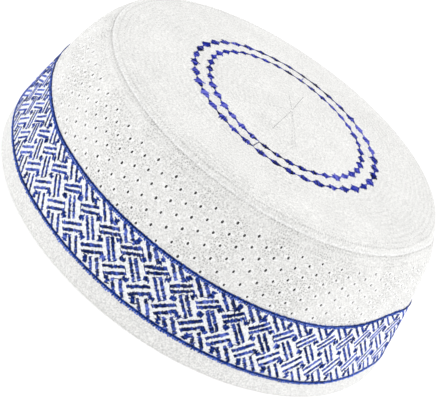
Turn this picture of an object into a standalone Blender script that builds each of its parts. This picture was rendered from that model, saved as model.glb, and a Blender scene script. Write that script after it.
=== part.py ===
"""A kufi: a stiff round prayer cap of white cloth with a low domed crown.

The outer face of the whole cap is one smooth surface, stated by a short table of
sections from the hem up to the middle of the crown. Every piece is a wall that
follows a stretch of that surface: the folded hem, the embroidered headband between
its two satin border lines, the pierced side wall, the corded seam, the quilted
crown, and the two rings of stitched lozenges on the crown.

Metres, +Z up. The origin is the middle of the hem's opening, on the plane that the
cap rests on. The front of the cap is towards -Y.
"""

import math

import bmesh
import bpy
import numpy as np
from mathutils import Matrix, Vector

MM = 0.001

# The cap's outer face, one row for each section from the hem to the crown's middle, in
# millimetres. The shape is set by the cloth's stiffening: a little longer front to back
# than it is wide, and leaning a little. A rise is how much higher the section stands at
# TILT_RADIUS along +X or +Y than it does in its middle. The cap has lain folded flat,
# which left a soft upright crease at its right side: fold is how far it stands out.
TILT_RADIUS = 80.0
FOLD_AZIMUTH = math.radians(-5.625)
FOLD_HALF_WIDTH = math.radians(8.0)
SECTION_COLUMNS = (
    "section", "height", "half_width", "half_depth", "shift_x", "rise_x", "rise_y", "fold",
)
SECTIONS = (
    ("hem edge", 0.0, 90.6, 96.1, 0.0, 0.0, 0.0, 0.0),
    ("lower border", 7.5, 89.4, 94.4, -0.8, -1.3, -0.8, 1.2),
    ("upper border", 32.6, 84.6, 88.2, -1.6, -0.3, 0.5, 3.0),
    ("side wall", 46.5, 82.3, 83.5, -1.0, -0.2, -0.2, 2.1),
    ("shoulder foot", 60.7, 76.1, 77.0, 0.4, -1.0, -1.9, 1.7),
    ("shoulder top", 62.9, 73.3, 75.0, 0.8, 0.2, -3.0, 0.0),
    ("outer ring", 66.0, 42.7, 43.0, 1.1, -1.9, -1.6, 0.0),
    ("inner crown", 67.9, 18.5, 18.6, 1.0, -2.2, -1.4, 0.0),
    ("crown middle", 68.7, 0.0, 0.0, 1.0, -2.2, -1.4, 0.0),
)

# A station is a distance run up the wall from the hem edge, in millimetres.
LOWER_BORDER = 7.6
UPPER_BORDER = 33.2
SEAM = 63.2
OUTER_RING = 97.8
INNER_RING = 104.2

SEGMENTS = 64          # flat facets round the cap
GAP = 0.3              # clearance between neighbouring pieces
HEM_THICKNESS = 3.0    # cloth folded twice
BAND_THICKNESS = 2.6   # cloth with its embroidery and backing
WALL_THICKNESS = 2.0
CROWN_THICKNESS = 2.2

BORDER_HALF_WIDTH = 0.85
BORDER_LIFT = 0.35     # how far the satin lines stand out of the cloth
BORDER_DEPTH = 1.2
SEAM_HALF_WIDTH = 0.75
SEAM_LIFT = 0.55
SEAM_DEPTH = 1.2

EYELET_DIAMETER = 1.3
EYELET_SIDES = 8
EYELET_COLUMNS = 54    # places for an eyelet round one row
EYELET_ROW_FOOT = 35.2
EYELET_ROW_STEP = 3.05
EYELET_ROW_TAPER = 0.055
PIERCED_ROWS = (1, 3, 5, 7)
PIERCED_EVERY = 2      # each second eyelet of these rows is pierced

LOZENGES = 39          # in each ring
LOZENGE_PHASE = math.radians(-89.7)
LOZENGE_HALF_WIDTH = 1.6
LOZENGE_FILL = 0.74    # share of the pitch that a lozenge covers
THREAD_HALF_WIDTH = 0.28
STITCH_HEIGHT = 0.6
RING_GAP = math.radians(1.6)   # the stitching starts and ends here

CLOTH = ((0.86, 0.86, 0.845), 0.85)
BLUE_THREAD = ((0.05, 0.09, 0.42), 0.45)


def clear_scene():
    """Empty the scene of its objects."""
    for obj in list(bpy.data.objects):
        bpy.data.objects.remove(obj, do_unlink=True)


def section_table():
    """The stations of the sections, and their values as an array of rows."""
    rows = np.array([row[1:] for row in SECTIONS], float)
    mean_radius = rows[:, 1:3].mean(axis=1)
    steps = np.hypot(np.diff(mean_radius), np.diff(rows[:, 0]))
    return np.concatenate([[0.0], np.cumsum(steps)]), rows


def monotone_slopes(stations, rows):
    """Slopes at the sections that let the curve between two of them never overshoot."""
    step = np.diff(stations)[:, None]
    rate = np.diff(rows, axis=0) / step
    slopes = np.empty_like(rows)
    slopes[0], slopes[-1] = rate[0], rate[-1]
    before, after = rate[:-1], rate[1:]
    weight_before = 2.0 * step[1:] + step[:-1]
    weight_after = step[1:] + 2.0 * step[:-1]
    same_way = before * after > 0.0
    safe_before = np.where(same_way, before, 1.0)
    safe_after = np.where(same_way, after, 1.0)
    harmonic = (weight_before + weight_after) / (
        weight_before / safe_before + weight_after / safe_after
    )
    slopes[1:-1] = np.where(same_way, harmonic, 0.0)
    return slopes


STATIONS, ROWS = section_table()
SLOPES = monotone_slopes(STATIONS, ROWS)
TOP = float(STATIONS[-1])


def section_at(station):
    """Height, half width, half depth, shift, rises and fold at a station."""
    i = int(np.clip(np.searchsorted(STATIONS, station, side="right") - 1, 0, len(ROWS) - 2))
    span = STATIONS[i + 1] - STATIONS[i]
    t = (station - STATIONS[i]) / span
    return (
        (1 + 2 * t) * (1 - t) ** 2 * ROWS[i]
        + t * (1 - t) ** 2 * span * SLOPES[i]
        + t * t * (3 - 2 * t) * ROWS[i + 1]
        + t * t * (t - 1) * span * SLOPES[i + 1]
    )


def face_point(station, azimuth):
    """A point of the outer face, in millimetres."""
    height, half_width, half_depth, shift, rise_x, rise_y, fold = section_at(station)
    from_fold = (azimuth - FOLD_AZIMUTH + math.pi) % (2 * math.pi) - math.pi
    x = half_width * math.cos(azimuth)
    x += fold * math.exp(-((from_fold / FOLD_HALF_WIDTH) ** 2))
    y = half_depth * math.sin(azimuth)
    z = height + (rise_x * x + rise_y * y) / TILT_RADIUS
    return Vector((x + shift, y, z))


def face_normal(station, azimuth):
    """The outward normal of the outer face."""
    small = 0.05
    if station > TOP - 1.0:
        rise_x, rise_y = ROWS[-1][4:6]
        return Vector((-rise_x / TILT_RADIUS, -rise_y / TILT_RADIUS, 1.0)).normalized()
    low = max(station - small, 0.0)
    along = face_point(low + 2 * small, azimuth) - face_point(low, azimuth)
    around = face_point(station, azimuth + 0.001) - face_point(station, azimuth - 0.001)
    return around.cross(along).normalized()


def cloth_point(station, azimuth, lift):
    """A point lifted off the outer face along its normal; a negative lift goes into the cloth."""
    point = face_point(station, azimuth) + lift * face_normal(station, azimuth)
    if station <= 0.0:
        point.z = 0.0  # the hem edge is pressed flat
    return point * MM


def azimuths_round():
    """The azimuths of the facets' corners, all the way round."""
    return [2 * math.pi * i / SEGMENTS for i in range(SEGMENTS)]


def material(name, colour, roughness):
    """A plain principled material."""
    made = bpy.data.materials.new(name)
    made.use_nodes = True
    shader = made.node_tree.nodes["Principled BSDF"]
    shader.inputs["Base Color"].default_value = (*colour, 1.0)
    shader.inputs["Roughness"].default_value = roughness
    shader.inputs["Metallic"].default_value = 0.0
    return made


def finish_mesh(name, mesh_maker, finish):
    """Turn a finished bmesh into an object of the cap's collection."""
    bmesh.ops.remove_doubles(mesh_maker, verts=mesh_maker.verts, dist=1e-7)
    bmesh.ops.recalc_face_normals(mesh_maker, faces=mesh_maker.faces)
    mesh = bpy.data.meshes.new(name)
    mesh_maker.to_mesh(mesh)
    mesh_maker.free()
    mesh.shade_smooth()
    mesh.set_sharp_from_angle(angle=math.radians(35))
    mesh.materials.append(material(name, *finish))
    obj = bpy.data.objects.new(name, mesh)
    bpy.data.collections["kufi"].objects.link(obj)
    return obj


def loft_wall(name, outline_at, azimuths, finish, whole_round=True, ends_on_axis=False):
    """Sweep a closed outline of (station, lift) corners round the cap.

    The sections are unlike each other, so their faces are bridged here one strip
    after the other. An outline that starts and ends on the cap's axis leaves out
    the strip between its last corner and its first.
    """
    maker = bmesh.new()
    loops = []
    for azimuth in azimuths:
        corners = outline_at(azimuth)
        loops.append([maker.verts.new(cloth_point(s, azimuth, lift)) for s, lift in corners])
    corner_count = len(loops[0])
    strips = corner_count - 1 if ends_on_axis else corner_count
    turns = len(loops) if whole_round else len(loops) - 1
    for i in range(turns):
        here, there = loops[i], loops[(i + 1) % len(loops)]
        for j in range(strips):
            k = (j + 1) % corner_count
            maker.faces.new((here[j], there[j], there[k], here[k]))
    if not whole_round:
        maker.faces.new(loops[0])
        maker.faces.new(list(reversed(loops[-1])))
    return finish_mesh(name, maker, finish)


def wall_between(name, foot, head, thickness, finish, rows):
    """A cloth wall of one thickness between two stations."""
    outer = [foot + (head - foot) * i / rows for i in range(rows + 1)]
    outline = [(s, 0.0) for s in outer] + [(s, -thickness) for s in reversed(outer)]
    return loft_wall(name, lambda azimuth: outline, azimuths_round(), finish)


def raised_line(name, station, half_width, lift, depth, finish):
    """A line of stitches let into the joint of two pieces, with a rounded face."""
    outline = [
        (station - half_width, -depth),
        (station - half_width, 0.0),
        (station - 0.5 * half_width, lift),
        (station + 0.5 * half_width, lift),
        (station + half_width, 0.0),
        (station + half_width, -depth),
    ]
    return loft_wall(name, lambda azimuth: outline, azimuths_round(), finish)


def make_hem():
    """The plain folded hem that the cap stands on."""
    head = LOWER_BORDER - BORDER_HALF_WIDTH - GAP
    return wall_between("hem_fold", 0.0, head, HEM_THICKNESS, CLOTH, rows=1)


def make_band():
    """The headband that carries the blue basket pattern, between its border lines."""
    foot = LOWER_BORDER + BORDER_HALF_WIDTH + GAP
    head = UPPER_BORDER - BORDER_HALF_WIDTH - GAP
    return wall_between("embroidered_headband", foot, head, BAND_THICKNESS, CLOTH, rows=2)


def make_border(name, station):
    """One of the two blue satin lines along the headband's edges."""
    return raised_line(
        name, station, BORDER_HALF_WIDTH, BORDER_LIFT, BORDER_DEPTH, BLUE_THREAD
    )


def eyelet_row_station(row):
    """The station of a row of eyelets, counted from the headband."""
    return EYELET_ROW_FOOT + EYELET_ROW_STEP * row - EYELET_ROW_TAPER * row * row


def make_eyelet_cutter():
    """All the eyelets' needles as one wire cutter, each square to the cloth."""
    maker = bmesh.new()
    pitch = 2 * math.pi / EYELET_COLUMNS
    for order, row in enumerate(PIERCED_ROWS):
        station = eyelet_row_station(row)
        first = order % PIERCED_EVERY
        for column in range(first, EYELET_COLUMNS, PIERCED_EVERY):
            azimuth = math.radians(-90) + (column + 0.5 * (row % 2)) * pitch
            normal = face_normal(station, azimuth)
            middle = cloth_point(station, azimuth, -0.5 * WALL_THICKNESS)
            turned = normal.to_track_quat("Z", "Y").to_matrix().to_4x4()
            bmesh.ops.create_cone(
                maker,
                cap_ends=True,
                segments=EYELET_SIDES,
                radius1=0.5 * EYELET_DIAMETER * MM,
                radius2=0.5 * EYELET_DIAMETER * MM,
                depth=3.0 * WALL_THICKNESS * MM,
                matrix=Matrix.Translation(middle) @ turned,
            )
    mesh = bpy.data.meshes.new("eyelet_cutter")
    maker.to_mesh(mesh)
    maker.free()
    cutter = bpy.data.objects.new("eyelet_cutter", mesh)
    cutter.hide_render = True
    cutter.display_type = "WIRE"
    bpy.data.collections["cutters"].objects.link(cutter)
    return cutter


def make_side_wall():
    """The white side wall above the headband, pierced with small eyelets."""
    foot = UPPER_BORDER + BORDER_HALF_WIDTH + GAP
    head = SEAM - SEAM_HALF_WIDTH - GAP
    wall = wall_between("pierced_side_wall", foot, head, WALL_THICKNESS, CLOTH, rows=3)
    pierce = wall.modifiers.new("eyelets", "BOOLEAN")
    pierce.operation = "DIFFERENCE"
    pierce.solver = "EXACT"
    pierce.object = make_eyelet_cutter()
    return wall


def make_seam():
    """The corded seam that joins the crown to the side wall."""
    return raised_line("crown_seam", SEAM, SEAM_HALF_WIDTH, SEAM_LIFT, SEAM_DEPTH, CLOTH)


def make_crown():
    """The quilted crown: a low dome whose edge turns down to the seam."""
    foot = SEAM + SEAM_HALF_WIDTH + GAP
    bend = float(STATIONS[5])
    outer = [foot, 0.5 * (foot + bend) + 0.6, bend + 1.5, 82.0, OUTER_RING, 120.0, TOP]
    inner = [TOP, OUTER_RING, bend + 3.0, foot]
    outline = [(s, 0.0) for s in outer] + [(s, -CROWN_THICKNESS) for s in inner]
    outline = outline[outer.index(TOP) + 1:] + outline[:outer.index(TOP) + 1]
    return loft_wall(
        "crown_panel", lambda azimuth: outline, azimuths_round(), CLOTH, ends_on_axis=True
    )


def make_lozenge_ring(name, station):
    """A ring of satin-stitched lozenges joined by one thread, open where it was begun."""
    pitch = 2 * math.pi / LOZENGES
    tip = 0.5 * LOZENGE_FILL * pitch
    half_widths = {}
    for i in range(LOZENGES):
        middle = LOZENGE_PHASE + i * pitch
        half_widths[middle - tip] = THREAD_HALF_WIDTH
        half_widths[middle] = LOZENGE_HALF_WIDTH
        half_widths[middle + tip] = THREAD_HALF_WIDTH
    start = LOZENGE_PHASE - 0.5 * pitch + 0.5 * RING_GAP
    finish = start + 2 * math.pi - RING_GAP
    azimuths = sorted([start, finish, *half_widths])

    def outline_at(azimuth):
        half_width = half_widths.get(azimuth, THREAD_HALF_WIDTH)
        foot, head = GAP, GAP + STITCH_HEIGHT
        return [
            (station - half_width, foot),
            (station + half_width, foot),
            (station + half_width, head),
            (station - half_width, head),
        ]

    return loft_wall(name, outline_at, azimuths, BLUE_THREAD, whole_round=False)


def main():
    clear_scene()
    for name in ("kufi", "cutters"):
        made = bpy.data.collections.new(name)
        bpy.context.scene.collection.children.link(made)
    make_hem()
    make_border("lower_border_line", LOWER_BORDER)
    make_band()
    make_border("upper_border_line", UPPER_BORDER)
    make_side_wall()
    make_seam()
    make_crown()
    make_lozenge_ring("outer_lozenge_ring", OUTER_RING)
    make_lozenge_ring("inner_lozenge_ring", INNER_RING)


main()
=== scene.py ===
import math

import bmesh
import bpy
import numpy as np
from mathutils import Matrix, Vector


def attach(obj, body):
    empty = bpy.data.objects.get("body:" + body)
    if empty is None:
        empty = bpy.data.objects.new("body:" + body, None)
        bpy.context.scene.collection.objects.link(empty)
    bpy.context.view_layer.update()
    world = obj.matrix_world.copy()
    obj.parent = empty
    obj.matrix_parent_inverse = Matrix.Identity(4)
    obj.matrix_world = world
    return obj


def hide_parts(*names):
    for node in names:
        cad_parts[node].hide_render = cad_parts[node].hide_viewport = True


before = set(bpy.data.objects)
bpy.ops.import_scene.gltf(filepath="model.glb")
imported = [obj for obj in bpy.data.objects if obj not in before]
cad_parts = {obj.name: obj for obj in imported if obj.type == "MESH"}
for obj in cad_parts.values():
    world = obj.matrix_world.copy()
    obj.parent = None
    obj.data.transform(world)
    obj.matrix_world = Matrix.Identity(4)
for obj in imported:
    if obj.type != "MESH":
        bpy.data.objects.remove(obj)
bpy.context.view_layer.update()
MM = 0.001

# The camera stands low in front of the cap's front left, rolled so that the crown
# faces up and to the right, with a long lens. Its place is where the hem, the two
# border lines and the lozenge rings fall as they do in the photograph.
CAMERA_ELEVATION = math.radians(27.42)
CAMERA_ROLL = math.radians(35.39)
CAMERA_DISTANCE = 0.9014
CAMERA_RIGHTWARDS = 0.00909
CAMERA_UPWARDS = 0.01295
LENS_MM = 179.59

look_back = Vector((0.0, -math.cos(CAMERA_ELEVATION), math.sin(CAMERA_ELEVATION)))
level_right = Vector((1.0, 0.0, 0.0))
level_up = Vector((0.0, math.sin(CAMERA_ELEVATION), math.cos(CAMERA_ELEVATION)))
frame_right = math.cos(CAMERA_ROLL) * level_right + math.sin(CAMERA_ROLL) * level_up
frame_up = -math.sin(CAMERA_ROLL) * level_right + math.cos(CAMERA_ROLL) * level_up
camera_place = look_back * CAMERA_DISTANCE
camera_place += frame_right * CAMERA_RIGHTWARDS + frame_up * CAMERA_UPWARDS
camera_axes = Matrix((frame_right, frame_up, look_back)).transposed()
camera = bpy.data.objects.new("camera", bpy.data.cameras.new("camera"))
camera.data.lens = LENS_MM
camera.data.sensor_width = 36.0
camera.data.clip_start = 0.05
camera.data.clip_end = 30.0
camera.matrix_world = Matrix.Translation(camera_place) @ camera_axes.to_4x4()
bpy.context.scene.collection.objects.link(camera)
bpy.context.scene.camera = camera

# The table is a plain white sweep under a white tent, as for a catalogue picture. The
# tent lights all sides alike; one broad lamp stands to the right and behind, and a
# weaker one to the left, so that the wall turns a little grey towards the front.
TABLE_HALF_SIDE = 6.0
TENT_LIGHT = 0.87
RIGHT_LAMP = ("right_lamp", (1.6, 0.5, 1.2), 1.2, 15.0)
LEFT_LAMP = ("left_lamp", (-1.6, -0.2, 1.1), 1.0, 9.0)
LAMPS_AIM = (0.0, 0.0, 0.03)


def new_finish(name):
    finish = bpy.data.materials.new(name)
    finish.use_nodes = True
    return finish


def add_node(finish, kind, sockets=None, **settings):
    made = finish.node_tree.nodes.new(kind)
    for setting, value in settings.items():
        setattr(made, setting, value)
    for socket, value in (sockets or {}).items():
        if isinstance(value, bpy.types.NodeSocket):
            finish.node_tree.links.new(value, made.inputs[socket])
        else:
            made.inputs[socket].default_value = value
    return made


UNDER_CAP = 0.058  # half the side of the plain patch that the cap stands over
table_corners = [(-1, -1), (1, -1), (1, 1), (-1, 1)]
table_mesh = bpy.data.meshes.new("table")
table_mesh.from_pydata(
    [(x * half, y * half, 0.0)
     for half in (TABLE_HALF_SIDE, UNDER_CAP) for x, y in table_corners],
    [],
    [(4, 5, 6, 7), (0, 1, 5, 4), (1, 2, 6, 5), (2, 3, 7, 6), (3, 0, 4, 7)],
)
table_top = bpy.data.objects.new("table", table_mesh)
bpy.context.scene.collection.objects.link(table_top)
for finish_name, glow in (("table_under_cap", 0.0), ("table_white", 0.16)):
    table_white = new_finish(finish_name)
    table_shader = table_white.node_tree.nodes["Principled BSDF"]
    table_shader.inputs["Base Color"].default_value = (0.94, 0.94, 0.94, 1.0)
    table_shader.inputs["Roughness"].default_value = 0.9
    table_shader.inputs["Specular IOR Level"].default_value = 0.1
    table_shader.inputs["Emission Color"].default_value = (1.0, 1.0, 1.0, 1.0)
    table_shader.inputs["Emission Strength"].default_value = glow
    table_mesh.materials.append(table_white)
for outer_face in table_mesh.polygons[1:]:
    outer_face.material_index = 1

tent = bpy.data.worlds.new("tent")
tent.use_nodes = True
tent.node_tree.nodes["Background"].inputs["Color"].default_value = (1.0, 1.0, 1.0, 1.0)
tent.node_tree.nodes["Background"].inputs["Strength"].default_value = TENT_LIGHT
bpy.context.scene.world = tent
for lamp_name, lamp_place, lamp_size, lamp_watts in (RIGHT_LAMP, LEFT_LAMP):
    lamp_data = bpy.data.lights.new(lamp_name, "AREA")
    lamp_data.size = lamp_size
    lamp_data.energy = lamp_watts
    lamp = bpy.data.objects.new(lamp_name, lamp_data)
    lamp.location = lamp_place
    aim = Vector(LAMPS_AIM) - lamp.location
    lamp.rotation_euler = aim.to_track_quat("-Z", "Y").to_euler()
    bpy.context.scene.collection.objects.link(lamp)
bpy.context.scene.view_settings.view_transform = "Standard"

# The hem is a strip of white cotton folded over on itself, 3 mm thick and 8 mm tall.
# The cap stands on its rounded fold, and its upper edge is caught under the lower
# border stitching.
CAP_SECTIONS = (  # height, half width, half depth, shift in x, rise in x, in y, fold
    ("hem edge", 0.0, 90.6, 96.1, 0.0, 0.0, 0.0, 0.0),
    ("lower border", 7.5, 89.4, 94.4, -0.8, -1.3, -0.8, 1.2),
    ("upper border", 32.6, 84.6, 88.2, -1.6, -0.3, 0.5, 3.0),
    ("side wall", 46.5, 82.3, 83.5, -1.0, -0.2, -0.2, 2.1),
    ("shoulder foot", 60.7, 76.1, 77.0, 0.4, -1.0, -1.9, 1.7),
    ("shoulder top", 62.9, 73.3, 75.0, 0.8, 0.2, -3.0, 0.0),
    ("outer ring", 66.0, 42.7, 43.0, 1.1, -1.9, -1.6, 0.0),
    ("inner crown", 67.9, 18.5, 18.6, 1.0, -2.2, -1.4, 0.0),
    ("crown middle", 68.7, 0.0, 0.0, 1.0, -2.2, -1.4, 0.0),
)
RISE_RADIUS = 80.0  # the rises in x and in y are met at this far from the middle
FOLD_AZIMUTH = math.radians(-5.625)  # the soft crease from lying folded flat
FOLD_HALF_WIDTH = math.radians(8.0)
BAND_RADIUS = 87.0  # the arc round the cap is measured at this radius
ROUND_ARC = 2 * math.pi * BAND_RADIUS
FRONT = math.radians(-90.0)
HEM_FOLD = 1.5
HEM_TOP = 7.9
CLOTH_WHITE = (0.812, 0.809, 0.792)
WEAVE_RISE = 0.00022  # how far the threads and their slubs stand out, in metres
PLAIT_HEIGHT = 0.35  # the share of it that the crossing of the threads has
SLUB_SHADE = 0.85  # how much lighter the thick places of a thread are
PLAIT_PAINTED_SHADE = 0.012  # painted shade: how much darker the weave's hollows are painted than its threads
CLOUD_SHADE = 0.04  # how much the white changes from place to place

rows_of_cap = np.array([row[1:] for row in CAP_SECTIONS])
mean_radii = rows_of_cap[:, 1:3].mean(axis=1)
steps_up = np.hypot(np.diff(mean_radii), np.diff(rows_of_cap[:, 0]))
stations = np.concatenate([[0.0], np.cumsum(steps_up)])
CROWN_MIDDLE = float(stations[-1])
rates = np.diff(rows_of_cap, axis=0) / steps_up[:, None]
slopes = np.concatenate([rates[:1], rates])
same_way = rates[:-1] * rates[1:] > 0.0
weight_below = (2.0 * steps_up[1:] + steps_up[:-1])[:, None]
weight_above = (steps_up[1:] + 2.0 * steps_up[:-1])[:, None]
mixed = (weight_below + weight_above) / (
    weight_below / np.where(same_way, rates[:-1], 1.0)
    + weight_above / np.where(same_way, rates[1:], 1.0)
)
slopes[1:-1] = np.where(same_way, mixed, 0.0)


def cap_face(station, azimuth):
    """Points of the cap's outer face, in millimetres."""
    below = np.clip(np.searchsorted(stations, station, "right") - 1, 0, len(stations) - 2)
    span = (stations[below + 1] - stations[below])[..., None]
    t = (station - stations[below])[..., None] / span
    row = (1 + 2 * t) * (1 - t) ** 2 * rows_of_cap[below]
    row = row + t * (1 - t) ** 2 * span * slopes[below]
    row = row + t * t * (3 - 2 * t) * rows_of_cap[below + 1]
    row = row + t * t * (t - 1) * span * slopes[below + 1]
    height, half_width, half_depth, shift, rise_x, rise_y, fold = np.moveaxis(row, -1, 0)
    from_fold = (azimuth - FOLD_AZIMUTH + math.pi) % (2 * math.pi) - math.pi
    x = half_width * np.cos(azimuth) + fold * np.exp(-((from_fold / FOLD_HALF_WIDTH) ** 2))
    y = half_depth * np.sin(azimuth)
    z = height + (rise_x * x + rise_y * y) / RISE_RADIUS
    return np.stack([x + shift, y, z], axis=-1)


def on_cap(station, azimuth, lift):
    """Points at a lift off the outer face, along its normal, in metres."""
    station, azimuth, lift = np.broadcast_arrays(station, azimuth, lift)
    station = station.astype(float)
    near_middle = station > CROWN_MIDDLE - 1.0
    low = np.clip(station - 0.05, 0.0, CROWN_MIDDLE - 1.1)
    along = cap_face(low + 0.1, azimuth) - cap_face(low, azimuth)
    around = cap_face(low, azimuth + 0.001) - cap_face(low, azimuth - 0.001)
    normal = np.cross(around, along)
    normal[near_middle] = (0.0, 0.0, 1.0)
    normal /= np.linalg.norm(normal, axis=-1, keepdims=True)
    point = cap_face(np.clip(station, 0.0, CROWN_MIDDLE), azimuth)
    point = point + lift[..., None] * normal
    point[..., 2] = np.maximum(point[..., 2], 0.0)
    return point * MM


def radius_at(station):
    """The mean radius of the cap at a station."""
    return float(np.interp(station, stations, mean_radii))


def mesh_piece(name, points, quads, map_name, corner_map, finishes):
    """One smooth object from its points and quads, with a map for the quads' corners."""
    mesh = bpy.data.meshes.new(name)
    mesh.from_pydata(points.reshape(-1, 3).tolist(), [], quads.reshape(-1, 4).tolist())
    for finish in finishes:
        mesh.materials.append(finish)
    layer = mesh.uv_layers.new(name=map_name)
    layer.data.foreach_set("uv", corner_map.astype(np.float32).ravel())
    mesh.validate()
    mesh.shade_smooth()
    piece = bpy.data.objects.new(name, mesh)
    bpy.context.scene.collection.objects.link(piece)
    return piece


def cloth_object(name, points, quads, corner_turns, corner_run, finishes):
    """A piece of cloth from its quads, with a map in turns round the cap and millimetres."""
    both = np.stack(np.broadcast_arrays(corner_turns, corner_run), axis=-1)
    return mesh_piece(name, points, quads, "round_map", both, finishes)


def grid_quads(rows, columns, closed=(0, 0)):
    """The quads of a grid of points, whose rows and columns may join up, last to first."""
    row = np.arange(rows - 1 + closed[0])[:, None]
    column = np.arange(columns - 1 + closed[1])[None, :]
    here, there = row * columns, (row + 1) % rows * columns
    beside = (column + 1) % columns
    return np.stack([here + column, there + column, there + beside, here + beside], axis=-1)


def hoop(name, profile, columns, finish):
    """A piece of cloth that runs right round the cap, from a profile of (station, lift)."""
    run, lift = np.array(profile, float).T
    turns = np.arange(columns) / columns
    points = on_cap(run, 2 * math.pi * turns[:, None] + math.pi / 2, lift)
    quads = grid_quads(columns, len(run), closed=(1, 1))
    corner_turns = turns[:, None, None] + np.array([0, 1, 1, 0]) / columns
    next_run = np.roll(run, -1)
    corner_run = np.stack([run, run, next_run, next_run], axis=-1)
    return cloth_object(name, points, quads, corner_turns, corner_run, [finish])


def maths(finish, operation, *values):
    return add_node(
        finish, "ShaderNodeMath", dict(enumerate(values)), operation=operation
    ).outputs[0]


def sine(finish, value, factor):
    return maths(finish, "SINE", maths(finish, "MULTIPLY", value, factor))


def noise(finish, scale, detail, roughness=0.5):
    """A cloudy value from 0 to 1 that stays with the object."""
    spot = add_node(finish, "ShaderNodeTexCoord").outputs["Object"]
    return add_node(
        finish, "ShaderNodeTexNoise",
        {"Vector": spot, "Scale": scale, "Detail": detail, "Roughness": roughness},
    ).outputs["Fac"]


def map_parts(finish, map_name):
    """The two measures of a map, as two sockets."""
    place = add_node(finish, "ShaderNodeUVMap", uv_map=map_name)
    parts = add_node(finish, "ShaderNodeSeparateXYZ", {"Vector": place.outputs["UV"]})
    return parts.outputs["X"], parts.outputs["Y"]


def add_relief(finish, height, strength, distance):
    """Let a height stand out of the surface, on top of any relief that it has already."""
    normal = finish.node_tree.nodes["Principled BSDF"].inputs["Normal"]
    sockets = {"Strength": strength, "Distance": distance, "Height": height}
    if normal.is_linked:
        sockets["Normal"] = normal.links[0].from_socket
    relief = add_node(finish, "ShaderNodeBump", sockets)
    finish.node_tree.links.new(relief.outputs["Normal"], normal)


def shade_by(finish, colour, shade):
    """Give the surface a colour, scaled by a shade."""
    base = finish.node_tree.nodes["Principled BSDF"].inputs["Base Color"]
    shaded = add_node(
        finish, "ShaderNodeVectorMath", {0: colour, "Scale": shade}, operation="SCALE"
    )
    finish.node_tree.links.new(shaded.outputs["Vector"], base)


def cotton(name, white, weave, grain, disc=False):
    """White cotton: a plain weave with slubs, its hollows painted a touch greyer than its
    threads as painted shade.

    The threads of a strip run round the cap and up it; those of a disc lie along x and y.
    """
    finish = new_finish(name)
    shader = finish.node_tree.nodes["Principled BSDF"]
    shader.inputs["Roughness"].default_value = 0.86
    shader.inputs["Specular IOR Level"].default_value = 0.25
    shader.inputs["Sheen Weight"].default_value = 0.12
    shader.inputs["Sheen Roughness"].default_value = 0.5
    if disc:
        spot = add_node(finish, "ShaderNodeTexCoord").outputs["Object"]
        seen = add_node(finish, "ShaderNodeSeparateXYZ", {"Vector": spot})
        warp = sine(finish, seen.outputs["X"], 2 * math.pi / (weave * MM))
        weft = sine(finish, seen.outputs["Y"], 2 * math.pi / (weave * MM))
    else:
        turn, run = map_parts(finish, "round_map")
        warp = sine(finish, turn, 2 * math.pi * round(ROUND_ARC / weave))
        weft = sine(finish, run, 2 * math.pi / weave)
    plait = maths(finish, "MULTIPLY", warp, weft)
    slub = noise(finish, scale=1500.0, detail=1.0, roughness=0.6)
    cloud = noise(finish, scale=38.0, detail=3.0)
    height = maths(finish, "MULTIPLY", plait, PLAIT_HEIGHT)
    height = maths(finish, "MULTIPLY_ADD", slub, 2.0 * grain, height)
    add_relief(finish, height, strength=0.6, distance=WEAVE_RISE)
    even_shade = 1.0 - 0.5 * (SLUB_SHADE + CLOUD_SHADE)
    shade = maths(finish, "MULTIPLY_ADD", slub, SLUB_SHADE, even_shade)
    # The weave's hollows are darkened with painted shade.
    shade = maths(finish, "MULTIPLY_ADD", plait, PLAIT_PAINTED_SHADE, shade)
    shade = maths(finish, "MULTIPLY_ADD", cloud, CLOUD_SHADE, shade)
    shade_by(finish, white, shade)
    return finish


def white_piece(piece, node):
    """The piece rides on the cap and stands for its node."""
    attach(piece, "root")
    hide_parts(node)


hem_cotton = cotton("hem_cotton", CLOTH_WHITE, weave=0.6, grain=0.8)
fold_turns = np.linspace(0.0, math.pi, 9)
hem_profile = [(s, 0.0) for s in np.linspace(HEM_TOP, HEM_FOLD, 9)[:-1]]
hem_profile += [
    (HEM_FOLD - HEM_FOLD * math.sin(turn), HEM_FOLD * math.cos(turn) - HEM_FOLD)
    for turn in fold_turns
]
hem_profile += [(s, -2 * HEM_FOLD) for s in np.linspace(HEM_FOLD, HEM_TOP, 4)[1:]]
hem = hoop("hem_cloth", hem_profile[::-1], columns=432, finish=hem_cotton)
white_piece(hem, "hem_fold")

# The lower border is a narrow zigzag of royal blue rayon thread, 1.4 mm wide, with a
# cord of the same thread couched along its upper side, its deeper blue painted shade. It
# holds down the raw upper edge of the hem.
rng = np.random.default_rng(7)
ZIGZAG_PITCH = 0.50
ZIGZAG_LEANS = (-0.15, 0.50)  # how far its stitches lean along the band, by turns
ZIGZAG_RAGGED = 0.20
ZIGZAG_TONE = (0.62, 0.24)  # the mean and the spread of its stitches' blue
CORD_PITCH = 0.72
CORD_SHADE_TONE = (0.14, 0.16)
CORD_TURN = 1.25  # how far one turn of the cord reaches along the band
CORD_SLANT = 0.22  # how far its two ends lie off the cord's middle line
THREAD_MOTTLE = 0.35  # how far the tone wanders within one stitch
FIBRE_RISE = 0.00004  # how far the twisted fibres stand out, in metres
THREAD_TWIST = (26.0, 30.0)  # how close its fibres lie, along a stitch and across it


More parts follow.
